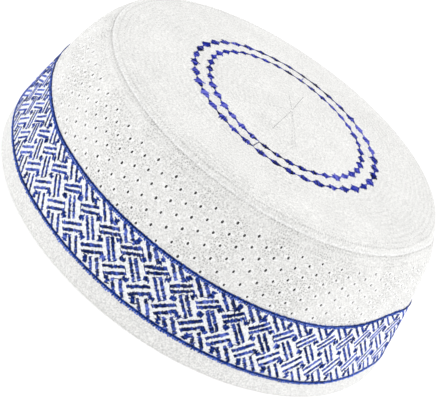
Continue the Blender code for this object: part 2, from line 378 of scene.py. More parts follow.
def thread_finish(name, dark, middle, pale):
    """Glossy embroidery thread: each stitch has its own tone, part random and part painted sheen
    and shade, with fine fibres.
    """
    finish = new_finish(name)
    shader = finish.node_tree.nodes["Principled BSDF"]
    shader.inputs["Roughness"].default_value = 0.38
    shader.inputs["Specular IOR Level"].default_value = 0.08
    # The tone carries painted sheen and painted shade as well as each stitch's own colour.
    depth = add_node(finish, "ShaderNodeAttribute", attribute_name="thread_tone")
    mottle = maths(finish, "SUBTRACT", noise(finish, scale=1600.0, detail=1.0), 0.5)
    level = maths(finish, "MULTIPLY_ADD", mottle, THREAD_MOTTLE, depth.outputs["Fac"])
    ramp = add_node(finish, "ShaderNodeValToRGB", {"Fac": level})
    ramp.color_ramp.elements[0].color = (*dark, 1.0)
    ramp.color_ramp.elements[1].color = (*pale, 1.0)
    ramp.color_ramp.elements.new(0.5).color = (*middle, 1.0)
    finish.node_tree.links.new(ramp.outputs["Color"], shader.inputs["Base Color"])
    along, across = map_parts(finish, "along_thread")
    twist = maths(finish, "MULTIPLY", along, THREAD_TWIST[0])
    twist = maths(finish, "MULTIPLY_ADD", across, THREAD_TWIST[1], twist)
    add_relief(finish, maths(finish, "SINE", twist), strength=0.35, distance=FIBRE_RISE)
    return finish


# Where each stitch crests along its length, and how high, as shares of the whole.
STITCH_ALONG = np.array([0.0, 0.16, 0.5, 0.84, 1.0])
STITCH_CREST = np.array([-0.25, 0.72, 1.0, 0.72, -0.25])
STITCH_ACROSS = np.array([-0.5, 0.0, 0.5])
STITCH_PAINTED_LIGHT = np.array([-0.22, -0.05, 0.14, -0.05, -0.22])  # painted shade at its ends and a painted highlight at its crest
STITCH_SINK = 0.42  # how far its two sides sink into the cloth, as a share of its width


def lay_stitches(
    name, starts, ends, radius, width, crest, tone, finish, foot=0.0
):
    """Stitches as one mesh: each a rounded ridge of thread from its start to its end.

    Starts and ends are rows of (arc, station) in millimetres, the arc measured from
    the cap's front at the given radius. Width, crest, foot and tone may differ by stitch.
    """
    starts, ends = np.asarray(starts, float), np.asarray(ends, float)
    tone = np.clip(tone, 0.0, 1.0)
    count = len(starts)
    width, crest, tone, foot, radius = (
        np.broadcast_to(np.asarray(v, float), count)[:, None, None]
        for v in (width, crest, tone, foot, radius)
    )
    reach = ends - starts
    length = np.hypot(reach[:, 0], reach[:, 1])
    square = np.stack([-reach[:, 1], reach[:, 0]], axis=-1) / length[:, None]
    side = STITCH_ACROSS * width
    flat = starts[:, None, None] + STITCH_ALONG[:, None, None] * reach[:, None, None]
    flat = flat + side[..., None] * square[:, None, None]
    sink = np.where(STITCH_ACROSS == 0.0, 0.0, STITCH_SINK) * width
    lift = foot + STITCH_CREST[:, None] * crest - sink
    points = on_cap(flat[..., 1], FRONT + flat[..., 0] / radius, lift)
    rows, columns = len(STITCH_ALONG), len(STITCH_ACROSS)
    base = np.arange(count)[:, None, None, None] * rows * columns
    quads = base + grid_quads(rows, columns)
    run = STITCH_ALONG[:, None] * length[:, None, None]
    both = np.stack(np.broadcast_arrays(run, side), axis=-1).reshape(-1, 2)
    piece = mesh_piece(name, points, quads, "along_thread", both[quads.reshape(-1)], [finish])
    tone_layer = piece.data.attributes.new("thread_tone", "FLOAT", "POINT")
    # Each stitch's ends get painted shade and its crest a painted highlight.
    tones = tone + STITCH_PAINTED_LIGHT[:, None] + np.zeros(columns)
    tone_layer.data.foreach_set("value", tones.ravel().astype(np.float32))
    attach(piece, "root")
    return piece


LOWER_BORDER = 7.6
BORDERS_APART = 25.6
CREEP_ALONG = (0.06, 0.67, 0.18)  # along the band: its mean, and one wave's size and start
CREEP_UP = (-0.15, 0.30, -0.15)  # up it: its mean, and the sizes of two waves
CREEP_AT_FOOT = 0.12
SIDE_CREEP = (  # arc, and how far the embroidery creeps there along the band, and up it
    (-273, 0.0, 0.0), (-124, 10.5, 0.4), (-112, 9.0, 0.4), (-98, 6.2, 0.3), (-90, 3.8, 0.1),
    (-82, 2.5, -0.2), (-74, 1.4, -0.4), (-66, 0.5, -0.25), (-56, 0.1, 0.0), (50, 0.1, -0.2),
    (64, 0.2, -0.35), (72, -0.2, -0.35), (80, -0.8, -0.15), (88, -1.2, -0.1),
    (98, -1.5, 0.1), (110, -1.8, 0.3), (273, 0.0, 0.0),
)
SIDE_PAINTED_SHEEN = (  # arc, and how much paler the blue is painted there, as painted sheen
    (-220, 0.0), (-135, 0.34), (-112, 0.22), (-94, 0.0), (76, 0.0), (96, 0.22), (120, 0.38),
    (200, 0.0),
)


def from_front(arc):
    """The same arc, counted both ways from the cap's front."""
    return (arc + 0.5 * ROUND_ARC) % ROUND_ARC - 0.5 * ROUND_ARC


def painted_sheen_at_sides(arc):
    """The thread is painted paler at the two sides of the cap, as painted sheen."""
    return np.interp(from_front(arc), *np.array(SIDE_PAINTED_SHEEN).T)


def drawn_along(ends):
    """The machine's hoop let the embroidery creep a little along the band and across it."""
    ends = np.array(ends, float)
    side_arcs, side_along, side_up = np.array(SIDE_CREEP).T
    at = from_front(ends[:, 0])
    ends[:, 0] += np.interp(at, side_arcs, side_along)
    ends[:, 1] += np.interp(at, side_arcs, side_up)
    turn = ends[:, 0] / BAND_RADIUS
    share_up = np.clip((ends[:, 1] - LOWER_BORDER) / BORDERS_APART, 0.0, 1.0)
    creep = CREEP_UP[0] + CREEP_UP[1] * np.cos(4.0 * turn) + CREEP_UP[2] * np.sin(2.0 * turn)
    ends[:, 0] += CREEP_ALONG[0] + CREEP_ALONG[1] * np.sin(4.0 * turn + CREEP_ALONG[2])
    ends[:, 1] += (0.3 + 0.7 * share_up) * creep + CREEP_AT_FOOT * (1.0 - share_up)
    return ends


border_thread = thread_finish(
    "border_thread", (0.002, 0.007, 0.050), (0.010, 0.054, 0.375), (0.130, 0.230, 0.770)
)


def zigzag(name, foot, head, side_sheen):
    """The wide part of a border line: slanted stitches, every other one lying back."""
    count = 2 * round(0.5 * ROUND_ARC / ZIGZAG_PITCH)
    arc = np.arange(count) * ROUND_ARC / count
    lean = np.take(ZIGZAG_LEANS, np.arange(count) % 2)
    low = foot + rng.normal(0.0, ZIGZAG_RAGGED, count)
    high = head + rng.normal(0.0, ZIGZAG_RAGGED, count)
    starts = drawn_along(np.stack([arc, low], axis=-1))
    ends = drawn_along(np.stack([arc + lean, high], axis=-1))
    tone = rng.normal(*ZIGZAG_TONE, count) + side_sheen * painted_sheen_at_sides(arc)
    return lay_stitches(
        name, starts, ends, BAND_RADIUS, width=0.62, crest=0.32, tone=tone, finish=border_thread
    )


def couched_cord(name, station, widths, side_sheen):
    """The cord of a border line: short slanted turns that lie over each other, their deep blue
    painted shade.
    """
    count = round(ROUND_ARC / CORD_PITCH)
    arc = np.arange(count) * ROUND_ARC / count
    width = np.interp(from_front(arc), *np.array(widths).T)
    station = station + rng.normal(0.0, 0.05, count)
    starts = drawn_along(np.stack([arc, station - CORD_SLANT], axis=-1))
    ends = drawn_along(np.stack([arc + CORD_TURN, station + CORD_SLANT], axis=-1))
    tone = rng.normal(*CORD_SHADE_TONE, count) + side_sheen * painted_sheen_at_sides(arc)
    lay_stitches(
        name, starts, ends, BAND_RADIUS, width, crest=0.30, tone=tone, finish=border_thread,
        foot=0.20,
    )


lower_zigzag = zigzag("lower_border_zigzag", foot=6.75, head=8.15, side_sheen=1.0)
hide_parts("lower_border_line")
LOWER_CORD_WIDTHS = (  # arc, and the width of the cord there
    (-200, 0.70), (-120, 0.44), (-90, 0.66), (-60, 0.82), (-20, 0.74), (20, 0.94), (55, 0.58),
    (100, 0.40), (200, 0.70),
)
couched_cord("lower_border_cord", station=7.9, widths=LOWER_CORD_WIDTHS, side_sheen=1.0)

# The headband is a strip of brighter white cotton, 26 mm tall and 2.6 mm thick with its
# backing. Its two edges run in under the border lines.
BAND_FOOT = 7.4
BAND_HEAD = 33.5
BAND_THICKNESS = 2.6
band_cotton = cotton("band_cotton", (0.945, 0.958, 0.968), weave=0.5, grain=0.5)
band_rows = np.linspace(BAND_FOOT, BAND_HEAD, 27)
band_profile = [(s, 0.0) for s in band_rows]
band_profile += [(s, -BAND_THICKNESS) for s in band_rows[::-3]]
band = hoop("headband_cloth", band_profile, columns=360, finish=band_cotton)
white_piece(band, "embroidered_headband")

# The basket weave is machine embroidery: pairs of satin bars in blue rayon, laid in
# five rows that lean left and right by turns, 48 times round the band. Each bar is a
# row of short stitches across its length, held down at its two serrated edges.
REPEATS = 48
PITCH = ROUND_ARC / REPEATS
FALLING_BARS = (
    ((-0.5, 32.8), (4.9, 27.4)), ((3.1, 32.8), (7.5, 28.7)),
    ((-2.3, 23.5), (4.0, 16.5)), ((-0.5, 24.75), (5.4, 18.1)),
    ((-3.2, 12.2), (0.0, 8.0)), ((-0.9, 13.9), (3.4, 8.5)),
)
RISING_BARS = (
    ((-7.3, 24.2), (-0.3, 29.4)), ((-6.0, 22.6), (1.5, 27.8)),
    ((-8.9, 13.1), (-1.6, 19.0)), ((-7.1, 11.2), (0.0, 17.1)),
)
BAR_WIDTHS = (  # arc, and the width of the satin bars there
    (-200, 1.50), (-125, 0.95), (-105, 1.14), (-88, 1.38), (-40, 1.54), (10, 1.82),
    (30, 1.80), (55, 1.46), (85, 1.36), (100, 1.18), (120, 1.00), (200, 1.50),
)
SATIN_PITCH = 0.50
SATIN_SLANT = math.radians(14.0)
SATIN_RAGGED = 0.20  # how unevenly long the stitches of one bar are
SATIN_TURN_SHEEN = (-0.10, 0.14)  # painted sheen: every other stitch is painted lighter, the rest darker
END_WANDER = 0.10
bar_thread = thread_finish(
    "bar_thread", (0.0018, 0.0075, 0.056), (0.020, 0.062, 0.400), (0.170, 0.240, 0.740)
)


def wandering(count, step, spread):
    """Tones that wander along a thread: each is close to the one before it."""
    tone, tones = rng.normal(0.0, spread), []
    for _ in range(count):
        tone = (1.0 - step) * tone + rng.normal(0.0, spread * math.sqrt(2.0 * step))
        tones.append(tone)
    return np.array(tones)


def heading(direction):
    return np.array([math.cos(direction), math.sin(direction)])


def satin_bars(name, bars, sheen_round):
    """Satin bars from their two ends, repeated round the band with a hand's unevenness.

    Sheen_round gives how light the thread's blue is painted at a few arcs, as (arc, tone):
    painted sheen.
    """
    starts, ends, tones = [], [], []
    for repeat in range(REPEATS):
        for near, far in bars:
            wander = rng.normal(0.0, END_WANDER, (2, 2))
            near_end = np.array(near) + wander[0] + (repeat * PITCH, 0.0)
            far_end = np.array(far) + wander[1] + (repeat * PITCH, 0.0)
            run = far_end - near_end
            across = heading(math.atan2(run[1], run[0]) + math.pi / 2 + SATIN_SLANT)
            count = max(4, round(math.hypot(*run) / SATIN_PITCH))
            middle = near_end + np.linspace(0.02, 0.98, count)[:, None] * run
            arc = from_front(near_end[0])
            width = np.interp(arc, *np.array(BAR_WIDTHS).T) * rng.normal(1.0, 0.04)
            half = 0.5 * width * rng.normal(1.0, SATIN_RAGGED, (2, count, 1))
            starts.append(middle - half[0] * across)
            ends.append(middle + half[1] * across)
            # The bars' blue is painted sheen by arc and lean, plus the painted sheen at the
            # sides.
            depth = np.interp(arc, *np.array(sheen_round).T) + painted_sheen_at_sides(arc)
            depth += rng.normal(0.0, 0.06)
            turn_sheen = np.take(SATIN_TURN_SHEEN, np.arange(count) % 2)
            slow = wandering(count, step=0.7, spread=0.24)
            tones.append(depth + turn_sheen + slow + rng.normal(0.0, 0.2, count))
    lay_stitches(
        name, drawn_along(np.concatenate(starts)), drawn_along(np.concatenate(ends)),
        BAND_RADIUS, width=0.48, crest=0.36, tone=np.concatenate(tones), finish=bar_thread,
    )


# Painted sheen: the bars of each lean are painted lighter and darker round the band, as the
# light catches their threads.
FALLING_SHEEN = ((-92, 0.18), (-60, 0.12), (-30, 0.38), (0, 0.28), (30, 0.07), (70, 0.16))
RISING_SHEEN = ((-92, 0.56), (-60, 0.44), (-25, 0.06), (5, 0.06), (35, 0.28), (70, 0.44))
satin_bars("falling_bars", FALLING_BARS, FALLING_SHEEN)
satin_bars("rising_bars", RISING_BARS, RISING_SHEEN)

# Between the pairs sit small knots, each five or six short stitches side by side, and
# loose runs of the same thread pass from one bar's end to the next.
KNOTS = (  # arc, station, direction of its stitches, how many, their length
    (-3.2, 30.7, 5.0, 6, 2.2), (2.3, 26.2, -50.0, 5, 2.4), (-3.9, 21.0, 80.0, 5, 2.5),
    (0.9, 15.5, 75.0, 5, 2.4), (-4.5, 10.2, 15.0, 6, 2.2),
)
KNOT_PITCH = 0.50
KNOT_TURN = 12.0  # degrees
KNOT_SLIP = 0.28
KNOT_RAGGED = 0.18
KNOT_TONE = (0.22, 0.28)
LINK_TONE = (0.22, 0.12)
LINK_STRAY = 0.12
LINKS = (  # from, to, and how often it is there
    ((-7.3, 24.0), (-6.2, 22.8), 0.55), ((-0.5, 29.2), (1.2, 27.9), 0.20),
    ((-8.8, 12.9), (-7.3, 11.4), 0.45), ((-1.5, 18.9), (-0.2, 17.2), 0.35),
    ((-2.1, 23.7), (-0.8, 24.7), 0.35), ((4.0, 16.7), (5.3, 18.0), 0.15),
    ((4.9, 27.5), (7.3, 28.7), 0.15), ((-3.0, 12.3), (-1.2, 13.7), 0.25),
    ((4.3, 16.4), (1.6, 15.6), 0.30), ((1.5, 27.5), (2.2, 26.9), 0.50),
)
knot_starts, knot_ends = [], []
link_starts, link_ends = [], []
for repeat in range(REPEATS):
    for arc, station, direction, stitches, length in KNOTS:
        along = heading(math.radians(direction + rng.normal(0.0, KNOT_TURN)))
        square = np.array([-along[1], along[0]])
        middle = np.array([arc + repeat * PITCH, station]) + rng.normal(0.0, 0.15, 2)
        for order in range(stitches):
            place = middle + square * KNOT_PITCH * (order - 0.5 * (stitches - 1))
            place = place + along * rng.normal(0.0, KNOT_SLIP)
            half = 0.5 * length * rng.normal(1.0, KNOT_RAGGED)
            knot_starts.append(place - half * along)
            knot_ends.append(place + half * along)
    for near, far, often in LINKS:
        if rng.random() < often:
            shift = (repeat * PITCH, 0.0)
            link_starts.append(np.array(near) + shift + rng.normal(0.0, LINK_STRAY, 2))
            link_ends.append(np.array(far) + shift + rng.normal(0.0, LINK_STRAY, 2))
lay_stitches(
    "basket_knots", drawn_along(knot_starts), drawn_along(knot_ends), BAND_RADIUS,
    width=0.50, crest=0.36, tone=rng.normal(*KNOT_TONE, len(knot_starts)), finish=bar_thread,
)
lay_stitches(
    "basket_links", drawn_along(link_starts), drawn_along(link_ends), BAND_RADIUS,
    width=0.30, crest=0.22, tone=rng.normal(*LINK_TONE, len(link_starts)), finish=bar_thread,
)

# The upper border is made as the lower one, with its cord of painted shade uppermost,
# where the band meets the side wall.
upper_zigzag = zigzag("upper_border_zigzag", foot=32.3, head=34.15, side_sheen=0.0)
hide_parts("upper_border_line")
UPPER_CORD_WIDTHS = (  # arc, and the width of the cord there
    (-60, 0.70), (-20, 0.76), (30, 0.78), (60, 0.44), (110, 0.40), (200, 0.70)
)
couched_cord("upper_border_cord", station=33.7, widths=UPPER_CORD_WIDTHS, side_sheen=0.0)

# The side wall is one layer of fine white cotton, 2 mm thick with its stiffening, and
# pierced with nine rows of 54 eyelets. Each eyelet is punched and overcast, so that a
# soft rim stands up round it, and the wall between is pricked with finer holes.
EYELETS_ROUND = 54
EYELET_ROWS = 9
EYELET_FOOT = 35.2
EYELET_STEP = 3.05
EYELET_TAPER = 0.055
WALL_FOOT = 33.3
WALL_HEAD = 63.9
WALL_THICKNESS = 2.0
CELL_COLUMNS = 8
CELL_SIDE_ROWS = 4
STRAY_ACROSS = 0.9  # how far a needle hole strays from its row, in millimetres
STRAY_ALONG = 3.0  # and along it, in holes
EASE_MEAN = 1.0  # how far the wall is eased on round the cap, and its waves
EASE_WAVES = (0.75, -0.17)


def laid_flat(finish):
    """Places on the wall in millimetres: the arc round the cap, and the station."""
    turn, run = map_parts(finish, "round_map")
    arc = maths(finish, "MULTIPLY", turn, ROUND_ARC)
    return add_node(finish, "ShaderNodeCombineXYZ", {"X": arc, "Y": run}).outputs["Vector"]


def faded(finish, value, low, high, at_low, at_high):
    """A value that passes from one end to the other between a low and a high one."""
    return add_node(
        finish, "ShaderNodeMapRange",
        {"Value": value, "From Min": low, "From Max": high, "To Min": at_low, "To Max": at_high},
    ).outputs["Result"]


def needle_hole(finish, away, radius):
    """A mask that is 1 within a needle hole and 0 outside its soft edge."""
    return faded(finish, away, 0.5 * radius, 1.3 * radius, 1.0, 0.0)


def needle_holes(finish, flat, spacing, radius, bare):
    """A mask that is 1 in fine needle holes, strewn at a spacing and bare in patches."""
    away = add_node(
        finish, "ShaderNodeTexVoronoi",
        {"Vector": flat, "Scale": 1.0 / spacing, "Randomness": 0.75}, voronoi_dimensions="2D",
    ).outputs["Distance"]
    open_patch = faded(finish, noise(finish, scale=90.0, detail=3.0), *bare, 0.0, 1.0)
    return maths(finish, "MULTIPLY", needle_hole(finish, away, radius / spacing), open_patch)


def needle_row(finish, station, spacing, radius):
    """A mask that is 1 in one straight row of needle holes round the cap."""
    turn, run = map_parts(finish, "round_map")
    stray = maths(finish, "SUBTRACT", noise(finish, scale=150.0, detail=2.0), 0.5)
    off_row = maths(finish, "SUBTRACT", run, station)
    off_row = maths(finish, "MULTIPLY_ADD", stray, STRAY_ACROSS, off_row)
    local_round = 2 * math.pi * radius_at(station)
    count_round = round(local_round / spacing)
    along = maths(finish, "MULTIPLY", turn, float(count_round))
    along = maths(finish, "MULTIPLY_ADD", stray, STRAY_ALONG, along)
    off_hole = maths(finish, "SUBTRACT", maths(finish, "FRACT", along), 0.5)
    off_hole = maths(finish, "MULTIPLY", off_hole, local_round / count_round)
    both = add_node(finish, "ShaderNodeCombineXYZ", {"X": off_hole, "Y": off_row})
    away = add_node(
        finish, "ShaderNodeVectorMath", {0: both.outputs["Vector"]}, operation="LENGTH"
    ).outputs["Value"]
    return needle_hole(finish, away, radius)


def prick(finish, holes, painted_shade, depth=0.00006):
    """Sink a mask of needle holes into a cotton that is already made, darkening them with
    painted shade.
    """
    base = finish.node_tree.nodes["Principled BSDF"].inputs["Base Color"]
    keep = maths(finish, "MULTIPLY_ADD", holes, -painted_shade, 1.0)
    shade_by(finish, base.links[0].from_socket, keep)
    add_relief(finish, maths(finish, "SUBTRACT", 1.0, holes), strength=1.0, distance=depth)


def drawn_round(azimuth):
    """The wall's eyelets creep a little round the cap, as its strip was eased on."""
    thrice = 3.0 * (azimuth - FRONT)
    waves = EASE_WAVES[0] * np.sin(thrice) + EASE_WAVES[1] * np.cos(thrice)
    return azimuth + (EASE_MEAN + waves) / BAND_RADIUS


wall_cotton = cotton("wall_cotton", CLOTH_WHITE, weave=0.5, grain=0.55)
# The wall's needle holes, and the rows of them under the seam, are darkened with painted shade.
wall_holes = needle_holes(
    wall_cotton, laid_flat(wall_cotton), spacing=1.05, radius=0.27, bare=(0.40, 0.60)
)
prick(wall_cotton, wall_holes, painted_shade=0.42, depth=0.00010)
for station, spacing, painted_shade in ((59.2, 1.6, 0.2), (62.1, 1.2, 0.14), (63.2, 1.1, 0.2)):
    prick(wall_cotton, needle_row(wall_cotton, station, spacing, radius=0.30), painted_shade)

eyelet_rows = np.arange(EYELET_ROWS)
eyelet_stations = EYELET_FOOT + EYELET_STEP * eyelet_rows - EYELET_TAPER * eyelet_rows**2
row_edges = 0.5 * (eyelet_stations[1:] + eyelet_stations[:-1])
row_edges = np.concatenate([
    [WALL_FOOT], row_edges, [2 * eyelet_stations[-1] - row_edges[-1]]
])
wall_columns = EYELETS_ROUND * CELL_COLUMNS
# Round one cell's edge, anticlockwise from its lower left corner: columns and row shares.
across = np.arange(CELL_COLUMNS)
up = np.arange(CELL_SIDE_ROWS) / CELL_SIDE_ROWS
cell_u = np.concatenate([across, 0 * up + CELL_COLUMNS, CELL_COLUMNS - across, 0 * up])
cell_azimuth = (cell_u - 0.5 * CELL_COLUMNS) * 2 * math.pi / wall_columns
cell_v = np.concatenate([0.0 * across, up, 0.0 * across + 1.0, 1.0 - up])
# Rings of a cell, from the inner face through the hole to the outer face: how far it is
# from the hole's edge towards the cell's edge, the half width and half height of its
# oval part, and its lift. The holes are drawn a little taller than wide.
CELL_RINGS = (
    (1.0, 0.0, 0.0, -WALL_THICKNESS), (0.0, 0.98, 1.00, -WALL_THICKNESS),
    (0.0, 0.82, 0.96, -0.9), (0.0, 0.48, 0.64, -0.45), (0.0, 0.43, 0.59, -0.05),
    (0.0, 0.50, 0.66, 0.10), (0.0, 0.70, 0.84, 0.10), (0.25, 0.88, 0.98, 0.0),
    (1.0, 0.0, 0.0, 0.0),
)
CELL_ROOM = 0.80  # the share of a cell's height that its oval may take
EYELET_SIZES = (0.90, 1.10)  # the smallest and the largest
EYELET_SLIP = 0.12  # how far one may lie from its place
RING_FINISHES = (0, 1, 1, 2, 2, 2, 2, 0)  # wall, painted shade inside the hole, or overcast rim
# The inside of each hole is a grey cotton: painted shade that keeps the holes dark.
eyelet_shade = cotton("eyelet_shade", (0.34, 0.34, 0.34), weave=0.5, grain=0.5)
rim_cotton = cotton("rim_cotton", (0.90, 0.90, 0.89), weave=0.4, grain=0.3)
wall_patches = []


def add_patch(station, azimuth, lift, corners, patch_finishes):
    """Add a grid of points to the wall, with the corners of its quads and their finishes."""
    station, azimuth = np.broadcast_arrays(station, azimuth)
    first = wall_patches[-1][1].max() + 1 if wall_patches else 0
    wall_patches.append((
        on_cap(station, azimuth, lift).reshape(-1, 3), corners + first,
        azimuth.ravel()[corners] / (2 * math.pi), station.ravel()[corners], patch_finishes,
    ))


outward, half_width, half_height, ring_lift = np.array(CELL_RINGS).T[..., None]
rings, sides = len(CELL_RINGS), len(cell_u)
cell_quads = grid_quads(rings, sides, closed=(0, 1)).reshape(-1, 4)
for row in range(EYELET_ROWS):
    middle = eyelet_stations[row]
    low, high = row_edges[row], row_edges[row + 1]
    local_radius = radius_at(middle)
    edge_station = low + (high - low) * cell_v
    aim_round = np.arctan2(edge_station - middle, cell_azimuth * local_radius)
    oval_height = np.minimum(half_height, 0.5 * CELL_ROOM * (high - low))
    for column in range(EYELETS_ROUND):
        middle_turn = (column + 0.5 * (row % 2)) / EYELETS_ROUND
        size = np.clip(rng.normal(1.0, 0.06), *EYELET_SIZES)
        slip = np.clip(rng.normal(0.0, 0.10, 2), -EYELET_SLIP, EYELET_SLIP)
        oval_azimuth = (size * half_width * np.cos(aim_round) + slip[0]) / local_radius
        oval_station = middle + size * oval_height * np.sin(aim_round) + slip[1]
        azimuth = outward * cell_azimuth + (1 - outward) * oval_azimuth
        add_patch(
            outward * edge_station + (1 - outward) * oval_station,
            drawn_round(FRONT + 2 * math.pi * middle_turn + azimuth), ring_lift, cell_quads,
            np.repeat(RING_FINISHES, sides),
        )
strip_rows = np.linspace(row_edges[-1], WALL_HEAD, 5)
strip_profile = np.array(
    [(s, 0.0) for s in strip_rows] + [(s, -WALL_THICKNESS) for s in strip_rows[::-2]]
)
strip_turns = (np.arange(wall_columns + 1) - 0.5 * CELL_COLUMNS) / wall_columns
strip_azimuth = drawn_round(FRONT + 2 * math.pi * strip_turns)
strip_quads = grid_quads(wall_columns + 1, len(strip_profile)).reshape(-1, 4)
add_patch(
    strip_profile[None, :, 0], strip_azimuth[:, None], strip_profile[None, :, 1], strip_quads,
    np.zeros(len(strip_quads)),
)
*wall_shape, wall_finishes = (np.concatenate(part) for part in zip(*wall_patches))
wall = cloth_object("side_wall_cloth", *wall_shape, [wall_cotton, eyelet_shade, rim_cotton])
wall.data.polygons.foreach_set("material_index", wall_finishes.astype(np.int32))
maker = bmesh.new()
maker.from_mesh(wall.data)
bmesh.ops.remove_doubles(maker, verts=maker.verts, dist=2e-6)
bmesh.ops.recalc_face_normals(maker, faces=maker.faces)
maker.to_mesh(wall.data)
maker.free()
white_piece(wall, "pierced_side_wall")

# One row of close white running stitch holds the head of the wall to its stiffening. It
# runs all round, just under the seam.
WALL_HEAD_ROW = 61.2


def running_rows(name, rows_of_stations, stitch, gap, width, crest, finish):
    """Rows of running stitch right round the cap, each stitch a short raised bead."""
    starts, ends, radii = [], [], []
    for station in rows_of_stations:
        radius = radius_at(station)
        count = round(2 * math.pi * radius / (stitch + gap))
        arc = (np.arange(count) + rng.random()) * 2 * math.pi * radius / count
        wave = station + rng.normal(0.0, 0.04, count)
        starts.append(np.stack([arc, wave], axis=-1))
        ends.append(np.stack([arc + stitch, wave], axis=-1))
        radii.append(np.full(count, radius))
    starts = np.concatenate(starts)
    lay_stitches(
        name, starts, np.concatenate(ends), np.concatenate(radii), width, crest,
        tone=rng.normal(0.6, 0.15, len(starts)), finish=finish,
    )


white_thread = thread_finish(
    "white_thread", (0.74, 0.74, 0.72), (0.86, 0.86, 0.85), (0.90, 0.90, 0.89)
)
running_rows(
    "wall_head_stitches", (WALL_HEAD_ROW,), stitch=1.7, gap=0.25, width=0.40, crest=0.10,
    finish=white_thread,
)

# The seam is a thin white piping cord, covered in cotton and oversewn, that joins the
# crown to the side wall.
SEAM = 64.0
SEAM_HALF_WIDTH = 0.36
SEAM_LIFT = 0.19
SEAM_SUNK = 0.05  # how far the cord's edges sink into the cloth
SEAM_DEEP = 1.3
seam_cotton = cotton("seam_cotton", (0.86, 0.86, 0.85), weave=0.4, grain=0.4)
seam_turns = np.linspace(math.pi, 0.0, 9)
seam_profile = [
    (SEAM - SEAM_HALF_WIDTH * math.cos(turn), SEAM_LIFT * math.sin(turn) - SEAM_SUNK)
    for turn in seam_turns
]
seam_profile += [(SEAM + SEAM_HALF_WIDTH, -SEAM_DEEP), (SEAM - SEAM_HALF_WIDTH, -SEAM_DEEP)]
seam = hoop("seam_piping", seam_profile, columns=432, finish=seam_cotton)
white_piece(seam, "crown_seam")

# The crown is a disc of white cotton on a stiff backing, quilted with rows of running
# stitch in rings 1.45 mm apart. The stitching draws the cloth down in shallow grooves,
# pricked with the needle's holes, and lets it lie in a very low dome.
QUILT_PITCH = 1.45
QUILT_FIRST = 65.8
QUILT_DEPTH = 0.09
QUILT_FAINT = 0.15  # the share of it that is left near the crown's middle
QUILT_FADES = (8.0, 30.0)  # how far from the middle they are faintest, and full
CROWN_FOOT = 64.0
RIPPLE_PITCH = 2.3  # the ripples that the pulled cloth shows, wider than the rows
RIPPLE_WANDER = 3.0  # how far they wander from true rings
RIPPLE_PATCHES = (0.40, 0.60)
CROWN_THICKNESS = 2.2
crown_cotton = cotton("crown_cotton", CLOTH_WHITE, weave=0.5, grain=0.5, disc=True)
crown_spot = add_node(crown_cotton, "ShaderNodeTexCoord").outputs["Object"]
# The crown's needle holes, and its rows of them by the seam, are darkened with painted shade.
crown_holes = needle_holes(
    crown_cotton, crown_spot, spacing=1.35 * MM, radius=0.30 * MM, bare=(0.44, 0.62)
)
prick(crown_cotton, crown_holes, painted_shade=0.16, depth=0.00008)
for station, spacing, painted_shade in ((65.7, 1.0, 0.22), (68.2, 2.0, 0.24), (70.6, 2.0, 0.14)):
    prick(crown_cotton, needle_row(crown_cotton, station, spacing, radius=0.33), painted_shade)
# The ripples' hollows are painted shade, 6 per cent darker, over a shallow dent.
ripple_cloud = noise(crown_cotton, scale=55.0, detail=1.0)
crown_run = map_parts(crown_cotton, "round_map")[1]
ripple_run = maths(crown_cotton, "SUBTRACT", crown_run, QUILT_FIRST)
ripple_run = maths(crown_cotton, "MULTIPLY_ADD", ripple_cloud, RIPPLE_WANDER, ripple_run)
ripple_turn = maths(crown_cotton, "MULTIPLY", ripple_run, 2 * math.pi / RIPPLE_PITCH)
ripple = maths(crown_cotton, "COSINE", ripple_turn)
ripple = maths(crown_cotton, "MULTIPLY_ADD", ripple, 0.5, 0.5)
ripple_patch = faded(crown_cotton, ripple_cloud, *RIPPLE_PATCHES, 0.0, 1.0)
ripple = maths(crown_cotton, "MULTIPLY", ripple, ripple_patch)
prick(crown_cotton, ripple, painted_shade=0.06, depth=0.00014)
crown_rows = np.concatenate([
    np.linspace(CROWN_FOOT, QUILT_FIRST, 7)[:-1],
    np.arange(QUILT_FIRST, CROWN_MIDDLE - 0.4, QUILT_PITCH / 4),
    [CROWN_MIDDLE - 0.05],
])
groove = 0.5 + 0.5 * np.cos(2 * math.pi * (crown_rows - QUILT_FIRST) / QUILT_PITCH)
fade = np.interp(CROWN_MIDDLE - crown_rows, QUILT_FADES, (0.0, 1.0))
fade = np.maximum(fade, QUILT_FAINT) * np.clip(crown_rows - QUILT_FIRST + 0.5, 0.0, 1.0)
crown_profile = list(zip(crown_rows, -QUILT_DEPTH * groove * fade))
crown_profile += [
    (s, -CROWN_THICKNESS)
    for s in [CROWN_MIDDLE - 0.05, 130.0, 115.0, 98.0, 82.0, 72.0, 69.5, 67.5, CROWN_FOOT]
]
crown = hoop("crown_cloth", crown_profile, columns=288, finish=crown_cotton)
white_piece(crown, "crown_panel")

# Two rows of looser white running stitch hold the crown's turned edge to its backing.
# They run side by side, next to the seam.
running_rows(
    "crown_edge_stitches", (66.6, 68.9), stitch=1.4, gap=0.6, width=0.34, crest=0.08,
    finish=white_thread,
)

